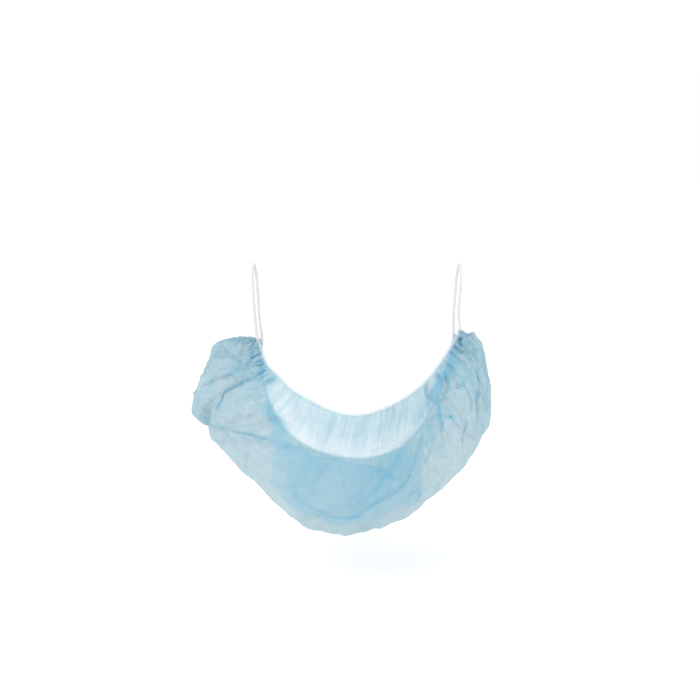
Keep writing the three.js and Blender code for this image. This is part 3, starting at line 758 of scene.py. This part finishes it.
def makeCover():
    folded = foldedSurface()
    settled = simulateCloth(folded)
    grid = finerGrid(settled, cover["finer"])
    rng = np.random.default_rng(cover["seed"] + 1)
    x, y = flatPlaces(grid)
    length, width = cover["flatLength"], cover["flatWidth"]
    nearEdge = fromHems(x, y)
    inside = smoothStep(nearEdge, 0, finish["crumplesFull"])
    smoothGrid = np.stack([blurred(grid[..., k], finish["smoothBlur"]) for k in range(3)], -1)
    large, largeLines = facetHeights(x, y, facets["largeSize"], rng)
    small, smallLines = facetHeights(x, y, facets["smallSize"], rng)
    wrinkles, wrinkleLines = crinkleHeights(x, y, rng)
    streakedAndShaded, streakHeight = streakLines(x, y, rng)
    fromChin = np.hypot((x / length - 0.5) / finish["chinHalf"][0], (y / width) / finish["chinHalf"][1])
    calm = finish["chinShare"] + (1 - finish["chinShare"]) * smoothStep(fromChin, *finish["chinFade"])
    height = facets["largeHeight"] * (large - facets["middle"])
    height += facets["smallHeight"] * (small - facets["middle"])
    height = height * inside * calm
    height += wrinkles * inside
    height += gatherHeights(grid, "fine", rng) * smoothStep(nearEdge, *finish["finePleatsFull"])
    height += streakHeight * smoothStep(nearEdge, 0, finish["streaksFull"])
    grid = grid + gridNormals(grid) * height[..., None]
    gathered = 1 + finish["gatherShare"] * (layerDensity(grid, smoothGrid) - 1)
    gathered = np.minimum(gathered, finish["mostDrawn"])
    hairs = softNoise(x, y * finish["frontHairs"][1], finish["frontHairs"][0], rng)
    rearHairs = softNoise(x, (width - y) * finish["rearHairs"][1], finish["rearHairs"][0], rng)
    hairs = hairs + finish["rearHairShare"] * rearHairs
    inward = np.minimum(y, width - y)
    gathered *= 1 + finish["hairShare"] * hairs * (1 - smoothStep(inward, *finish["hairFade"]))
    crests = finish["largeCrests"] * largeLines * calm + finish["smallCrests"] * smallLines * calm
    gathered *= 1 + inside * (crests + finish["wrinkleCrests"] * wrinkleLines)
    # the streaks' layers, including the painted shade of the neck in the middle
    gathered += streakedAndShaded
    along, across = np.gradient(grid, axis=0), np.gradient(grid, axis=1)
    area = np.linalg.norm(np.cross(along, across), axis=-1).sum()
    print("cloth area", round(area / 1e6, 4), "m2")
    sheet = makeSheet("pouch_cloth", grid)
    gathered = np.clip(gathered, finish["fewestLayers"], finish["mostLayers"])
    layer = sheet.data.attributes.new("gathered", "FLOAT", "POINT")
    layer.data.foreach_set("value", gathered.T.ravel())
    return sheet


pouch = makeCover()
print("pouch made")


# Hems: the cloth folded over the elastic and gathered tight along it

hems = {
    "sides": 12,
    "step": 0.55,  # mm along
    "halfWidth": 1.3,
    "halfThickness": 0.9,
    "ruffle": 0.4,  # mm from side to side
    "pitch": 3.1,  # mm from one ruffle to the next
    "drift": ((0.35, 5), (0.5, 21)),  # pitches that the ruffles drift, and mm on which that changes
    "strength": 0.75,
    "uneven": (0.35, 9),  # how much stronger or weaker some are, and mm on which that changes
    "swell": 0.15,  # share of the half width that a ruffle adds
    "swellTurn": 1.3,
    "thicken": 0.14,  # share of the half thickness
    "thickenTurn": 0.8,
    "grain": 0.05,
    "grainSize": 1.1,
    "grainRound": 3,
    "ends": (-0.5, 1.5),  # mm in which a hem closes at its ends
    "inward": 4,  # steps of the cloth from its edge to the row that gives the way towards it
    "webWidth": 12,  # mm of cloth round the elastic
    "seed": 21,
}


def makeTube(name, centres, widths, outs, sides, radii):
    # a closed tube along centres; widths and outs are its two directions, radii its size at each point
    bm = bmesh.new()
    flat = bm.loops.layers.uv.new("flat")
    rings = len(centres)
    bmesh.ops.create_grid(bm, x_segments=rings - 1, y_segments=sides, size=0.5)
    for face in bm.faces:
        face.smooth = True
        for loop in face.loops:
            loop[flat].uv = (loop.vert.co.x + 0.5, loop.vert.co.y + 0.5)
    for vert in bm.verts:
        i = round((vert.co.x + 0.5) * (rings - 1))
        j = round((vert.co.y + 0.5) * sides) % sides
        angle = 2 * math.pi * j / sides
        across, up = radii[i, j]
        place = centres[i] + widths[i] * across * math.cos(angle) + outs[i] * up * math.sin(angle)
        vert.co = Vector(place) * mm
    bmesh.ops.remove_doubles(bm, verts=bm.verts, dist=1e-7)
    bmesh.ops.holes_fill(bm, edges=[edge for edge in bm.edges if edge.is_boundary], sides=0)
    bmesh.ops.recalc_face_normals(bm, faces=bm.faces)
    mesh = bpy.data.meshes.new(name)
    bm.to_mesh(mesh)
    bm.free()
    tube = bpy.data.objects.new(name, mesh)
    bpy.context.scene.collection.objects.link(tube)
    return tube


def lineFrames(line, step, towards):
    # even places along a line, with the direction sideways towards the cloth and the one out of it
    lengths = np.r_[0, np.cumsum(np.linalg.norm(np.diff(line, axis=0), axis=1))]
    count = int(lengths[-1] / step) + 1
    shares = np.linspace(0, 1, count)
    centres = alongLine(line, shares)
    tangents = unit(np.gradient(centres, axis=0))
    widths = towards(shares)
    widths = unit(widths - tangents * (widths * tangents).sum(1)[:, None])
    return centres, widths, np.cross(tangents, widths), shares * lengths[-1]


def makeHem(name, line, edge, inner, seed):
    # edge and inner are the cloth's last row and one a few mm inside it
    steps = np.linalg.norm(np.diff(edge, axis=0), axis=1)
    reached = np.r_[0, np.cumsum(steps)] / steps.sum()

    def towards(shares):
        return np.stack([np.interp(shares, reached, (inner - edge)[:, k]) for k in range(3)], -1)

    centres, widths, outs, places = lineFrames(line, hems["step"], towards)
    rng = np.random.default_rng(seed)
    zero = places * 0
    wander = zero
    for share, size in hems["drift"]:
        wander = wander + share * softNoise(places, zero, size, rng)
    phase = 2 * math.pi * (places / hems["pitch"] + wander)
    strong = hems["strength"] + hems["uneven"][0] * softNoise(places, zero, hems["uneven"][1], rng)
    centres = centres + outs * (hems["ruffle"] * 0.5 * strong * np.cos(phase))[:, None]
    angles = 2 * math.pi * np.arange(hems["sides"]) / hems["sides"]
    strong, phase = strong[:, None], phase[:, None]
    # the free edge of the fold, on the side away from the cloth, ruffles most
    free = 0.5 - 0.5 * np.cos(angles)
    swell = 1 + hems["swell"] * strong * np.cos(phase + hems["swellTurn"] * np.sin(angles)) * free
    along, turned = np.broadcast_arrays(places[:, None], hems["grainRound"] * angles)
    grain = hems["grain"] * softNoise(along, turned, hems["grainSize"], rng)
    across = hems["halfWidth"] * (swell + grain)
    thicken = hems["thicken"] * strong * np.cos(phase + hems["thickenTurn"])
    up = hems["halfThickness"] * (1 + thicken + 2 * grain)
    radii = np.stack([across, up], -1)
    ends = smoothStep(np.minimum(places, places[-1] - places), *hems["ends"])
    return makeTube(name, centres, widths, outs, hems["sides"], radii * ends[:, None, None])


# Ear loops: soft knitted elastic

loops = {
    "sides": 12,
    "step": 0.4,
    "ribs": 6,  # round the cord
    "ribHeight": 0.06,
    "twist": 5.0,  # mm along for one turn
}


def makeLoop(name, line, before, after):
    # before and after are places on the hems' lines, so that the loop runs a little way into both hems
    line = np.vstack([before, line, after])

    def towards(shares):
        return np.repeat([[1.0, 0, 0]], len(shares), axis=0)

    centres, widths, outs, places = lineFrames(line, loops["step"], towards)
    angles = 2 * math.pi * np.arange(loops["sides"]) / loops["sides"]
    turn = angles * loops["ribs"] / 2 + 2 * math.pi * places[:, None] / loops["twist"] * loops["ribs"] / 2
    radius = ring["diameter"] / 2 + loops["ribHeight"] * np.cos(turn)
    return makeTube(name, centres, widths, outs, loops["sides"], np.stack([radius, radius], -1))


clothGrid = np.zeros(len(pouch.data.vertices) * 3)
pouch.data.vertices.foreach_get("co", clothGrid)
clothShape = (cover["stepsAlong"] * cover["finer"] + 1, cover["stepsAcross"] * cover["finer"] + 1)
clothGrid = gridOf(clothGrid / mm, clothShape)
frontHem = makeHem(
    "front_hem_gathered", frontLine, clothGrid[:, 0], clothGrid[:, hems["inward"]], hems["seed"])
rearHem = makeHem(
    "rear_hem_gathered", rearLine, clothGrid[:, -1], clothGrid[:, -1 - hems["inward"]], hems["seed"] + 1)
rightLoop = makeLoop("ear_loop_right_knit", rightLoopLine, frontLine[-8:-1:3], rearLine[-4:-9:-2])
leftLoop = makeLoop("ear_loop_left_knit", leftLoopLine, rearLine[7:0:-3], frontLine[1:8:3])
print("hems and loops made")


# Materials

def addNode(tree, kind, inputs=(), **settings):
    node = tree.nodes.new("ShaderNode" + kind)
    for name, value in settings.items():
        setattr(node, name, value)
    for key, value in dict(inputs).items():
        if isinstance(value, bpy.types.NodeSocket):
            tree.links.new(value, node.inputs[key])
        else:
            node.inputs[key].default_value = value
    return node


def makeGroup(name, inputs, outputs):
    tree = bpy.data.node_groups.new(name, "ShaderNodeTree")
    for socket, kind, value in inputs:
        made = tree.interface.new_socket(name=socket, in_out="INPUT", socket_type="NodeSocket" + kind)
        if value is not None:
            made.default_value = value
    for socket in outputs:
        tree.interface.new_socket(name=socket, in_out="OUTPUT", socket_type="NodeSocketFloat")
    return tree, tree.nodes.new("NodeGroupInput"), tree.nodes.new("NodeGroupOutput")


def calc(tree, operation, *values):
    return addNode(tree, "Math", dict(enumerate(values)), operation=operation).outputs[0]


def vectorCalc(tree, operation, *values):
    return addNode(tree, "VectorMath", dict(enumerate(values)), operation=operation)


def shareOf(tree, value, low, high):
    # 0 where the value is low, 1 where it is high
    return addNode(tree, "MapRange", {"Value": value, "From Min": low, "From Max": high}).outputs[0]


def mixed(tree, share, first, second):
    node = addNode(tree, "Mix", {"Factor": share, "A": first, "B": second}, data_type="RGBA")
    return node.outputs["Result"]


def startMaterial(name, sheen):
    material = bpy.data.materials.new(name)
    material.use_nodes = True
    shader = material.node_tree.nodes["Principled BSDF"]
    shader.inputs["Sheen Weight"].default_value = sheen
    return material, material.node_tree, shader


def linkShader(tree, shader, colour, roughness, height, look):
    bump = addNode(
        tree, "Bump", {"Height": height, "Strength": look["bump"], "Distance": look["bumpHeight"]})
    for name, socket in (("Base Color", colour), ("Roughness", roughness), ("Normal", bump.outputs[0])):
        tree.links.new(socket, shader.inputs[name])


web = {
    "fibreWidth": 0.45,  # mm
    "fibreLength": 7.0,
    "fibreWays": ((0.35, 0), (1.45, 31), (2.5, 67), (3.0, 103)),  # radians, and mm of shift
    "fibreShows": (0.5, 0.75),  # share of the noise from which a fibre starts, and is full
    "cloudsPerMm": 0.16,
    "cloudShows": (0.3, 0.7),
    "spotPitch": 2.2,  # mm
    "spotTurn": 0.785,  # radians
    "spotRim": (0.25, 0.15),  # pitches from a spot's middle
    "fibreHeight": 0.6,  # in heights of the clouds
    "spotDepth": 0.5,
}


def makeFibreGroup():
    # random fibres, cloudy thick and thin places, and the little pressed spots that hold the web together
    tree, given, out = makeGroup(
        "nonwovenWeb",
        [("Place", "Vector", None), ("Fibre Width", "Float", web["fibreWidth"]),
         ("Fibre Length", "Float", web["fibreLength"]), ("Spot Pitch", "Float", web["spotPitch"])],
        ["Fibres", "Clouds", "Spots", "Height"])
    place, pitch = given.outputs["Place"], given.outputs["Spot Pitch"]
    fibres = 0.0
    for turn, shift in web["fibreWays"]:
        turned = addNode(
            tree, "Mapping", {"Vector": place, "Rotation": (0, 0, turn), "Location": (shift, shift, 0)})
        parts = addNode(tree, "SeparateXYZ", {"Vector": turned.outputs[0]})
        along = calc(tree, "DIVIDE", parts.outputs[0], given.outputs["Fibre Length"])
        across = calc(tree, "DIVIDE", parts.outputs[1], given.outputs["Fibre Width"])
        joined = addNode(tree, "CombineXYZ", {0: along, 1: across})
        noise = addNode(
            tree, "TexNoise", {"Vector": joined.outputs[0], "Scale": 1, "Detail": 1.5, "Distortion": 0.4},
            noise_dimensions="2D")
        layer = shareOf(tree, noise.outputs["Fac"], *web["fibreShows"])
        fibres = calc(tree, "MAXIMUM", fibres, layer)
    noise = addNode(
        tree, "TexNoise", {"Vector": place, "Scale": web["cloudsPerMm"], "Detail": 4, "Roughness": 0.6},
        noise_dimensions="2D")
    clouds = shareOf(tree, noise.outputs["Fac"], *web["cloudShows"])
    turned = addNode(tree, "Mapping", {"Vector": place, "Rotation": (0, 0, web["spotTurn"])})
    size = addNode(tree, "CombineXYZ", {0: pitch, 1: pitch, 2: pitch})
    cells = vectorCalc(tree, "DIVIDE", turned.outputs[0], size.outputs[0])
    inCell = vectorCalc(tree, "FRACTION", cells.outputs[0])
    centred = vectorCalc(tree, "SUBTRACT", inCell.outputs[0], (0.5, 0.5, 0))
    away = vectorCalc(tree, "LENGTH", centred.outputs[0])
    spots = shareOf(tree, away.outputs["Value"], *web["spotRim"])
    raised = calc(tree, "MULTIPLY_ADD", fibres, web["fibreHeight"], clouds)
    height = calc(tree, "SUBTRACT", raised, calc(tree, "MULTIPLY", spots, web["spotDepth"]))
    for name, socket in (("Fibres", fibres), ("Clouds", clouds), ("Spots", spots), ("Height", height)):
        tree.links.new(socket, out.inputs[name])
    return tree


fibreGroup = makeFibreGroup()

clothFinish = {
    "thin": (0.355, 0.518, 0.58, 1),
    "dense": (0.165, 0.41, 0.55, 1),
    "thinTo": 1.5,
    "denseFrom": 3.3,
    "letThrough": 0.485,  # share of light that one flat layer lets past
    "roughness": 0.86,
    "bump": 0.28,
    "bumpHeight": 0.00012,
}
hemFinish = {
    "thin": (0.70, 0.81, 0.86, 1),
    "dense": (0.60, 0.75, 0.82, 1),
    "thinTo": 0.8,
    "denseFrom": 1.5,
    "letThrough": 0.55,
    "roughness": 0.8,
    "bump": 0.4,
    "bumpHeight": 0.00012,
}
webFinish = {
    "plain": 0.80,  # of a layer between the fibres
    "clouds": 0.24,  # layers that these add
    "fibres": 0.38,
    "spots": 0.22,
    "inColour": 0.4,  # how much of this the colour follows
    "spotGloss": 0.1,
    "sheen": 0.15,
    "specular": 0.2,
}


def makeClothMaterial(name, look, layers, flatSize):
    # layers names the attribute that says how much cloth lies over each place; it includes the painted
    # shade of the neck in the middle
    material, tree, shader = startMaterial(name, webFinish["sheen"])
    shader.inputs["Specular IOR Level"].default_value = webFinish["specular"]
    place = addNode(tree, "UVMap", uv_map="flat")
    inMm = addNode(tree, "Mapping", {"Vector": place.outputs[0], "Scale": (*flatSize, 1)})
    group = addNode(tree, "Group", node_tree=fibreGroup)
    tree.links.new(inMm.outputs[0], group.inputs["Place"])
    fibres, clouds, spots, height = (group.outputs[k] for k in ("Fibres", "Clouds", "Spots", "Height"))
    amount = webFinish["plain"]
    for socket, kind in ((clouds, "clouds"), (fibres, "fibres"), (spots, "spots")):
        amount = calc(tree, "MULTIPLY_ADD", socket, webFinish[kind], amount)
    piled = amount
    if layers:
        gathered = addNode(tree, "Attribute", attribute_name=layers).outputs["Fac"]
        piled = calc(tree, "MULTIPLY_ADD", amount, webFinish["inColour"], gathered)
        amount = calc(tree, "MULTIPLY", amount, gathered)
    past = calc(tree, "POWER", look["letThrough"], amount)
    tree.links.new(calc(tree, "SUBTRACT", 1.0, past), shader.inputs["Alpha"])
    depth = shareOf(tree, piled, look["thinTo"], look["denseFrom"])
    colour = mixed(tree, depth, look["thin"], look["dense"])
    dull = calc(tree, "MULTIPLY_ADD", spots, -webFinish["spotGloss"], look["roughness"])
    linkShader(tree, shader, colour, dull, height, look)
    return material


elasticFinish = {
    # painted shade: the valley colour darkens the knit where it sinks between the stitches; the rib
    # colour is the cord's own colour
    "shadedValley": (0.62, 0.64, 0.65, 1),
    "rib": (0.86, 0.87, 0.87, 1),
    "ribs": 12,  # round the cord
    "length": 130,  # mm
    "stitchesPerMm": 1.3,
    "rowEdge": (0.05, 0.4),  # of a stitch, where it rises from the shaded valley
    "ribEdge": (0.02, 0.3),
    "roughness": 0.85,
    "ribGloss": 0.15,
    "sheen": 0.3,
    "bump": 0.6,
    "bumpHeight": 0.0001,
}


def makeElasticMaterial(name, look):
    # knitted cover: rows of small stitches that lean one way and then the other, with painted shade in
    # the valleys between them
    material, tree, shader = startMaterial(name, look["sheen"])
    place = addNode(tree, "UVMap", uv_map="flat")
    parts = addNode(tree, "SeparateXYZ", {"Vector": place.outputs[0]})
    ribs = calc(tree, "MULTIPLY", parts.outputs[1], look["ribs"])
    lean = calc(tree, "PINGPONG", ribs, 1.0)
    rows = calc(tree, "MULTIPLY_ADD", parts.outputs[0], look["length"] * look["stitchesPerMm"], lean)
    rowShape = shareOf(tree, calc(tree, "PINGPONG", rows, 0.5), *look["rowEdge"])
    ribShape = shareOf(tree, calc(tree, "PINGPONG", ribs, 0.5), *look["ribEdge"])
    stitch = calc(tree, "MULTIPLY", rowShape, ribShape)
    # painted shade where the stitch sinks, the cord's own colour on the ribs
    colour = mixed(tree, stitch, look["shadedValley"], look["rib"])
    dull = calc(tree, "MULTIPLY_ADD", stitch, -look["ribGloss"], look["roughness"])
    linkShader(tree, shader, colour, dull, stitch, look)
    return material


clothMaterial = makeClothMaterial("nonwoven_cloth", clothFinish, "gathered", (1 / mm, 1 / mm))
hemMaterial = makeClothMaterial("hem_cloth", hemFinish, None, (cover["flatLength"], hems["webWidth"]))
elasticMaterial = makeElasticMaterial("knitted_elastic", elasticFinish)
pouch.data.materials.append(clothMaterial)
for hem in (frontHem, rearHem):
    hem.data.materials.append(hemMaterial)
for loop in (rightLoop, leftLoop):
    loop.data.materials.append(elasticMaterial)
print("materials made")

pieces = [
    (pouch, "pouch", "nonwoven"), (frontHem, "front_hem", "hem"), (rearHem, "rear_hem", "hem"),
    (rightLoop, "ear_loop_right", "elastic"), (leftLoop, "ear_loop_left", "elastic")]
for piece, cadNode, slot in pieces:
    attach(piece, "root")
    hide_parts(cadNode)


# Stage

stage = {
    "target": (-0.005, 0, -0.063),
    "distance": 1.0,
    "elevation": 12.5,  # degrees
    "lens": 67.9,
    "sensor": 36,
    "floorBelow": 0.045,
    "floorSize": 30,
    "floorColour": (0.95, 0.95, 0.95, 1),
    "floorRoughness": 0.9,
    "sky": 1.06,
    "lightTarget": (0, -0.03, -0.1),
    "lights": [
        ("key", (-0.9, -1.2, 1.2), 0.7, 9),
        ("fill", (1.2, -0.9, 0.5), 1.2, 1.5),
        ("back", (0.3, 1.4, 0.9), 1.0, 3)],
    "bounces": 32,  # so that many see-through folds can lie behind one another
}


def aim(thing, target):
    thing.rotation_euler = (Vector(target) - thing.location).to_track_quat("-Z", "Y").to_euler()


def makeStage():
    scene = bpy.context.scene
    bm = bmesh.new()
    bmesh.ops.create_grid(bm, x_segments=1, y_segments=1, size=stage["floorSize"])
    bmesh.ops.translate(bm, verts=bm.verts, vec=(0, 0, cadBox[0][2] - stage["floorBelow"]))
    mesh = bpy.data.meshes.new("floor")
    bm.to_mesh(mesh)
    bm.free()
    floor = bpy.data.objects.new("floor", mesh)
    scene.collection.objects.link(floor)
    pale = bpy.data.materials.new("pale_floor")
    pale.use_nodes = True
    shader = pale.node_tree.nodes["Principled BSDF"]
    shader.inputs["Base Color"].default_value = stage["floorColour"]
    shader.inputs["Roughness"].default_value = stage["floorRoughness"]
    mesh.materials.append(pale)
    world = bpy.data.worlds.new("studio")
    world.use_nodes = True
    background = world.node_tree.nodes["Background"]
    background.inputs["Color"].default_value = (1, 1, 1, 1)
    background.inputs["Strength"].default_value = stage["sky"]
    scene.world = world
    for name, place, size, power in stage["lights"]:
        data = bpy.data.lights.new(name, "AREA")
        data.size = size
        data.energy = power
        light = bpy.data.objects.new(name, data)
        light.location = place
        scene.collection.objects.link(light)
        aim(light, stage["lightTarget"])
    lens = bpy.data.cameras.new("camera")
    lens.lens = stage["lens"]
    lens.sensor_width = stage["sensor"]
    camera = bpy.data.objects.new("camera", lens)
    rise = math.radians(stage["elevation"])
    towards = Vector((0, -math.cos(rise), math.sin(rise)))
    camera.location = Vector(stage["target"]) + towards * stage["distance"]
    aim(camera, stage["target"])
    scene.collection.objects.link(camera)
    scene.camera = camera
    scene.view_settings.view_transform = "Standard"
    scene.cycles.transparent_max_bounces = stage["bounces"]


makeStage()
